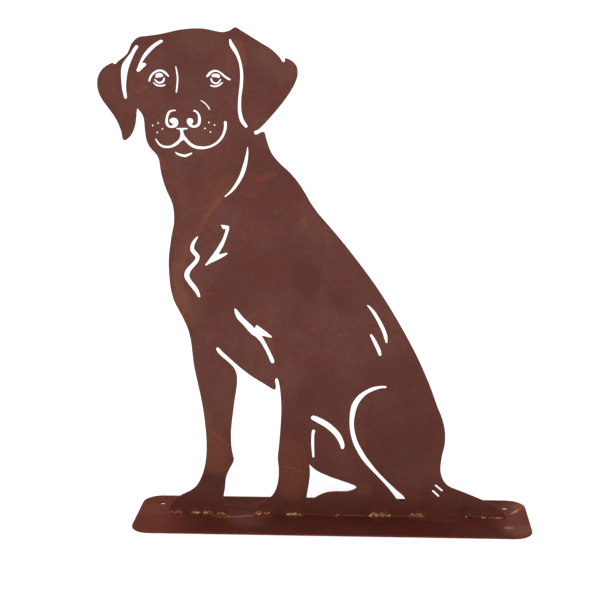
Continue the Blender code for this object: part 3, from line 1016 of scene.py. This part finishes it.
@dataclass
class CutSheet:
    """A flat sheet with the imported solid's outline and finely broken edges."""

    name: str
    node: str
    finish: RustedSheet
    edge_break: float = 0.00022
    edge_steps: int = 2
    merge: float = 1e-6
    flat_angle: float = math.radians(0.5)
    flat_cosine: float = 0.999
    corner: float = math.radians(38)

    def is_flat(self, face: bmesh.types.BMFace) -> bool:
        """Whether a face is one of the sheet's two flat ones."""
        through = Vector(self.finish.through.value)
        return abs(face.normal.dot(through)) > self.flat_cosine

    def is_rim(self, edge: bmesh.types.BMEdge) -> bool:
        """Whether an edge lies between a flat face and a cut wall."""
        sides = [self.is_flat(face) for face in edge.link_faces]
        return len(sides) == 2 and sides[0] != sides[1]

    def outline(self) -> bmesh.types.BMesh:
        """The solid's shape with its triangles joined into flat faces.

        Returns:
            The shape.
        """
        shape = bmesh.new()
        shape.from_mesh(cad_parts[self.node].data)
        bmesh.ops.remove_doubles(shape, verts=shape.verts, dist=self.merge)
        bmesh.ops.dissolve_limit(
            shape, angle_limit=self.flat_angle, verts=shape.verts, edges=shape.edges
        )
        return shape

    def break_edges(self, shape: bmesh.types.BMesh) -> None:
        """Breaks the rims between the flat faces and the cut walls.

        Args:
            shape: The sheet's shape.
        """
        bmesh.ops.bevel(
            shape,
            geom=[edge for edge in shape.edges if self.is_rim(edge)],
            offset=self.edge_break,
            offset_type="OFFSET",
            segments=self.edge_steps,
            profile=0.5,
            affect="EDGES",
            clamp_overlap=False,
            loop_slide=False,
            material=-1,
        )

    def settle(self, shape: bmesh.types.BMesh) -> None:
        """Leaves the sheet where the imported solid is.

        Args:
            shape: The sheet's shape.
        """

    def mark_edges(self, shape: bmesh.types.BMesh) -> None:
        """Marks the cut walls for the finish and smooths what is round.

        Args:
            shape: The sheet's shape.
        """
        layer = shape.faces.layers.float.new(EDGE_LAYER)
        shape.normal_update()
        for face in shape.faces:
            flat = self.is_flat(face)
            face[layer] = 0.0 if flat else 1.0
            face.smooth = not flat
        for edge in shape.edges:
            edge.smooth = edge.calc_face_angle(0.0) < self.corner

    def build(self, effects: SharedEffects) -> bpy.types.Object:
        """Makes the piece.

        Args:
            effects: The shared groups of its finish.

        Returns:
            The piece.
        """
        shape = self.outline()
        self.break_edges(shape)
        self.settle(shape)
        self.mark_edges(shape)
        bmesh.ops.triangulate(shape, faces=[face for face in shape.faces if len(face.verts) > 4])
        piece = add_piece(self.name, shape, self.finish.material(effects))
        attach(piece, BODY)
        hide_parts(self.node)
        return piece


@dataclass
class DogSheet(CutSheet):
    """The dog's sheet, whose feet stand on the base where the solid leaves a gap."""

    bite: float = 0.00005

    def settle(self, shape: bmesh.types.BMesh) -> None:
        """Closes the joint by letting the feet down onto the base.

        Args:
            shape: The sheet's shape.
        """
        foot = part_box(self.node)[0].z
        drop = foot - BASE_TOP + self.bite
        feet = [vertex for vertex in shape.verts if vertex.co.z < foot + 2 * self.edge_break]
        bmesh.ops.translate(shape, vec=(0.0, 0.0, -drop), verts=feet)


@dataclass
class WeldBead:
    """A bead of weld in the corner between the dog's front and the base."""

    node: str
    look: Look
    seed: int
    ripple: float = 0.0019
    ripple_depth: float = 0.10
    lag: float = 0.0014
    lumps: float = 0.46
    lump_size: float = 0.0036
    pits: float = 0.18
    pit_size: float = 0.0013
    step: float = 0.00030
    around: int = 60
    bluntness: float = 2.4
    bite: float = 0.0007
    core: float = 0.72
    squeeze: float = 0.6
    shift: float = 0.1
    lump_line: float = 0.35
    thinnest: float = 0.3
    fewest_rings: int = 28

    def half_sizes(self) -> Vector:
        """Half the bead's length, its reach over the base and its climb up the sheet."""
        low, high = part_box(self.node)
        return Vector((0.5 * (high.x - low.x), SHEET_FRONT - low.y, high.z - BASE_TOP))

    def corner(self) -> Vector:
        """The bead's middle on the line where the two sheets meet."""
        low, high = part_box(self.node)
        return Vector((0.5 * (low.x + high.x), SHEET_FRONT, BASE_TOP))

    def run(self) -> tuple[Vector, Vector]:
        """The ends of the bead's core on that line."""
        reach = Vector((self.core * self.half_sizes().x, 0.0, 0.0))
        return self.corner() - reach, self.corner() + reach

    def moulded(self, place: Vector, half: Vector) -> Vector:
        """Where a point of the unit sphere goes on the bead.

        Args:
            place: The point.
            half: The bead's half sizes.

        Returns:
            The point on the bead, from the bead's middle.
        """
        girth = math.sqrt(max(1.0 - place.x**2, 1e-9))
        across = Vector((0.0, place.y, place.z)) / girth
        along = place.x * half.x
        taper = (1.0 - abs(place.x) ** self.bluntness) ** (1.0 / self.bluntness)
        curl = abs(abs(across.y) - abs(across.z))
        turn = (along + self.lag * curl**2) / self.ripple
        crest = math.sin(math.pi * (turn - math.floor(turn)))
        squeeze = self.squeeze
        spot = Vector((along, squeeze * across.y * half.y, squeeze * across.z * half.z))
        spot.y += self.seed * self.shift
        lump = noise.noise(spot / self.lump_size)
        pit = noise.noise(spot / self.pit_size)
        swell = 1.0 - self.ripple_depth * (1.0 - crest)
        swell = swell - self.lumps * max(0.0, self.lump_line - lump)
        swell = min(1.0, max(self.thinnest, swell - self.pits * max(0.0, pit)))
        return Vector((along, across.y * half.y * taper * swell, across.z * half.z * taper * swell))

    def trim(self, shape: bmesh.types.BMesh) -> None:
        """Cuts the lump off just inside the two sheets and closes it.

        Args:
            shape: The lump, in place.
        """
        behind = ((0.0, SHEET_FRONT + self.bite, 0.0), (0, 1, 0))
        below = ((0.0, 0.0, BASE_TOP - self.bite), (0, 0, -1))
        for place, outward in (behind, below):
            geometry = [*shape.verts, *shape.edges, *shape.faces]
            cut = bmesh.ops.bisect_plane(
                shape, geom=geometry, plane_co=place, plane_no=outward, clear_outer=True
            )
            rim = [part for part in cut["geom_cut"] if isinstance(part, bmesh.types.BMEdge)]
            bmesh.ops.holes_fill(shape, edges=rim, sides=0)
        for face in shape.faces:
            face.smooth = len(face.verts) <= 4
        bmesh.ops.triangulate(shape, faces=[face for face in shape.faces if len(face.verts) > 4])
        bmesh.ops.recalc_face_normals(shape, faces=shape.faces)

    def build(self, material: bpy.types.Material) -> bpy.types.Object:
        """Makes the piece.

        Args:
            material: Its finish.

        Returns:
            The piece.
        """
        half = self.half_sizes()
        corner = self.corner()
        rings = max(self.fewest_rings, round(math.pi * half.x / self.step))
        shape = bmesh.new()
        bmesh.ops.create_uvsphere(shape, u_segments=self.around, v_segments=rings, radius=1.0)
        lying = Matrix.Rotation(math.pi / 2, 3, "Y")
        bmesh.ops.rotate(shape, verts=shape.verts, cent=(0.0, 0.0, 0.0), matrix=lying)
        for vertex in shape.verts:
            vertex.co = corner + self.moulded(vertex.co, half)
        self.trim(shape)
        piece = add_piece(f"{self.node}_metal", shape, material)
        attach(piece, BODY)
        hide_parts(self.node)
        return piece


@dataclass
class Spatter:
    """Droplets that the welding threw onto the base.

    The lone ones are given by their place and radius, in millimetres.
    """

    seed: int = 7
    per_bead: int = 5
    smallest: float = 0.00022
    largest: float = 0.00055
    throw: float = 0.0085
    flatness: float = 0.62
    spread: float = 1.25
    lone: tuple[Place, ...] = (
        (-209, -5, 0.9),
        (-132, 2.7, 0.6),
        (143, -16, 0.5),
        (206, -8, 0.6),
    )

    def droplet(self, shape: bmesh.types.BMesh, place: Vector, radius: float) -> None:
        """Adds one droplet, half sunk in what it landed on.

        Args:
            shape: The shape of all the droplets.
            place: Its middle.
            radius: Its radius.
        """
        matrix = Matrix.Translation(place) @ Matrix.Diagonal((1.0, 1.0, self.flatness, 1.0))
        bmesh.ops.create_icosphere(shape, subdivisions=2, radius=radius, matrix=matrix)

    def build(self, beads: list[WeldBead], material: bpy.types.Material) -> bpy.types.Object:
        """Makes the piece.

        Args:
            beads: The weld beads that the droplets came from.
            material: Its finish.

        Returns:
            The piece.
        """
        chance = random.Random(self.seed)
        shape = bmesh.new()
        for bead in beads:
            half = bead.half_sizes()
            for _ in range(self.per_bead):
                radius = chance.uniform(self.smallest, self.largest)
                along = chance.uniform(-self.spread, self.spread) * half.x
                out = half.y + self.throw * chance.random() ** 2
                self.droplet(shape, bead.corner() + Vector((along, -out, 0.0)), radius)
        for x, y, radius in self.lone:
            self.droplet(shape, Vector((x * MM, y * MM, BASE_TOP)), radius * MM)
        for face in shape.faces:
            face.smooth = True
        piece = add_piece("weld_spatter", shape, material)
        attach(piece, BODY)
        return piece


# Studio


@dataclass(frozen=True)
class SoftLight:
    """A soft square light."""

    name: str
    place: Place
    side: float
    power: float

    def build(self, target: Place) -> None:
        """Hangs the light and aims it.

        Args:
            target: What it is aimed at.
        """
        light = bpy.data.lights.new(self.name, "AREA")
        light.energy = self.power
        light.size = self.side
        lamp = bpy.data.objects.new(self.name, light)
        aim = (Vector(target) - Vector(self.place)).to_track_quat("-Z", "Y")
        lamp.matrix_world = Matrix.Translation(self.place) @ aim.to_matrix().to_4x4()
        bpy.context.scene.collection.objects.link(lamp)


@dataclass
class Studio:
    """A pale floor, soft light, and the camera where the photograph was taken from."""

    camera_place: Point = (0.0531, -1.5386)
    camera_height: float = 0.6051
    yaw: float = math.radians(3.39)
    pitch: float = math.radians(11.98)
    roll: float = math.radians(-0.349)
    lens: float = 78.0
    sensor: float = 36.0
    floor_radius: float = 9.0
    floor_sides: int = 96
    floor_drop: float = 0.0002
    sky_colour: Colour = (1.0, 1.0, 1.0)
    sky_strength: float = 1.18
    key_light: SoftLight = SoftLight("key_light", (-1.1, -1.7, 2.1), 1.6, 18.0)
    fill_light: SoftLight = SoftLight("fill_light", (1.6, -1.2, 1.5), 1.8, 8.0)
    lit_place: Place = (0.0, 0.0, 0.3)

    def build(self) -> None:
        """Sets up the floor, the light and the camera."""
        self.floor()
        self.sky()
        for light in (self.key_light, self.fill_light):
            light.build(self.lit_place)
        self.camera()
        bpy.context.scene.view_settings.view_transform = "Standard"

    def floor(self) -> None:
        """Lays a wide pale disc under the base."""
        shape = bmesh.new()
        bmesh.ops.create_circle(
            shape, cap_ends=True, segments=self.floor_sides, radius=self.floor_radius
        )
        bmesh.ops.translate(shape, vec=(0.0, 0.0, -self.floor_drop), verts=shape.verts)
        add_piece("studio_floor", shape, FloorPaper().material())

    def sky(self) -> None:
        """Lights the scene evenly in white from all round."""
        world = bpy.data.worlds.new("soft_white")
        world.use_nodes = True
        sky = world.node_tree.nodes["Background"]
        sky.inputs["Color"].default_value = (*self.sky_colour, 1.0)
        sky.inputs["Strength"].default_value = self.sky_strength
        bpy.context.scene.world = world

    def camera(self) -> None:
        """Sets the camera at the photograph's viewing angle."""
        view = bpy.data.cameras.new("camera")
        view.lens = self.lens
        view.sensor_fit = "HORIZONTAL"
        view.sensor_width = self.sensor
        camera = bpy.data.objects.new("camera", view)
        turn = Matrix.Rotation(self.yaw, 4, "Z")
        tilt = Matrix.Rotation(math.pi / 2 - self.pitch, 4, "X")
        lean = Matrix.Rotation(self.roll, 4, "Z")
        place = Matrix.Translation((*self.camera_place, self.camera_height))
        camera.matrix_world = place @ turn @ tilt @ lean
        bpy.context.scene.collection.objects.link(camera)
        bpy.context.scene.camera = camera


# The whole object


def dog_finish() -> RustedSheet:
    """The dog's rust: mid brown, darker towards the feet, partly as painted shade.

    Returns:
        The finish.
    """
    upper = HEAD_STROKES + NECK_STROKES + SHOULDER_STROKES
    strokes = upper + CHEST_STROKES + LEG_STROKES + SEAM_STROKES
    low_rust_and_shade = seen(86, 40, 33)
    return RustedSheet(
        name="rusted_sheet",
        through=Through.BACKWARD,
        middle=0.0,
        body=seen(97, 57, 50),
        light=seen(107, 66, 58),
        red=seen(102, 57, 50),
        olive=seen(97, 62, 54),
        edge=seen(88, 49, 40),
        scorch=seen(58, 30, 22),
        tint=seen(118, 62, 36),
        marks=tuple(mark for stroke in strokes for mark in stroke.marks(on_dog)),
        # Painted shade: the upper fade darkens the sheet lower down, standing in for the sheen that
        # the light leaves higher up; the lower fade darkens the feet.
        low=(LowRustAndShade(low_rust_and_shade, 0.24, 0.30), LowRustAndShade(low_rust_and_shade, 0.05, 0.54)),
    )


def base_finish() -> RustedSheet:
    """The base's rust: dark brown, lighter at its ends, partly as painted light.

    Returns:
        The finish.
    """
    return RustedSheet(
        name="rusted_base",
        through=Through.DOWNWARD,
        middle=-0.5 * BASE_TOP,
        body=seen(78, 40, 35),
        light=seen(86, 45, 39),
        red=seen(86, 41, 36),
        olive=seen(80, 44, 38),
        edge=seen(128, 62, 52),
        scorch=seen(52, 26, 18),
        tint=seen(112, 56, 28),
        marks=tuple(mark for stroke in BASE_STROKES for mark in stroke.marks(on_base)),
        gloss=0.02,
    )


WELD_LOOKS = (
    Look.RUSTED,
    Look.BRIGHT,
    Look.MIXED,
    Look.MIXED,
    Look.BRIGHT,
    Look.MIXED,
    Look.BRIGHT,
    Look.RUSTED,
    Look.BRIGHT,
    Look.MIXED,
    Look.DULL,
    Look.MIXED,
    Look.MIXED,
)


def main() -> None:
    """Builds the pieces, the floor, the light and the camera."""
    logging.basicConfig(level=logging.INFO, format="%(name)s %(message)s")
    beads = [
        WeldBead(f"weld_bead_{number:02d}", look, number)
        for number, look in enumerate(WELD_LOOKS, start=1)
    ]
    effects = SharedEffects.build(Pattern(), [bead.run() for bead in beads])
    DogSheet("dog_sheet", "dog_plate", dog_finish()).build(effects)
    CutSheet("base_sheet", "base_plate", base_finish()).build(effects)
    metals = {look: WeldMetal(look).material(effects) for look in Look}
    for bead in beads:
        bead.build(metals[bead.look])
    Spatter().build(beads, metals[Look.MIXED])
    Studio().build()


if __name__ == "__main__":
    main()
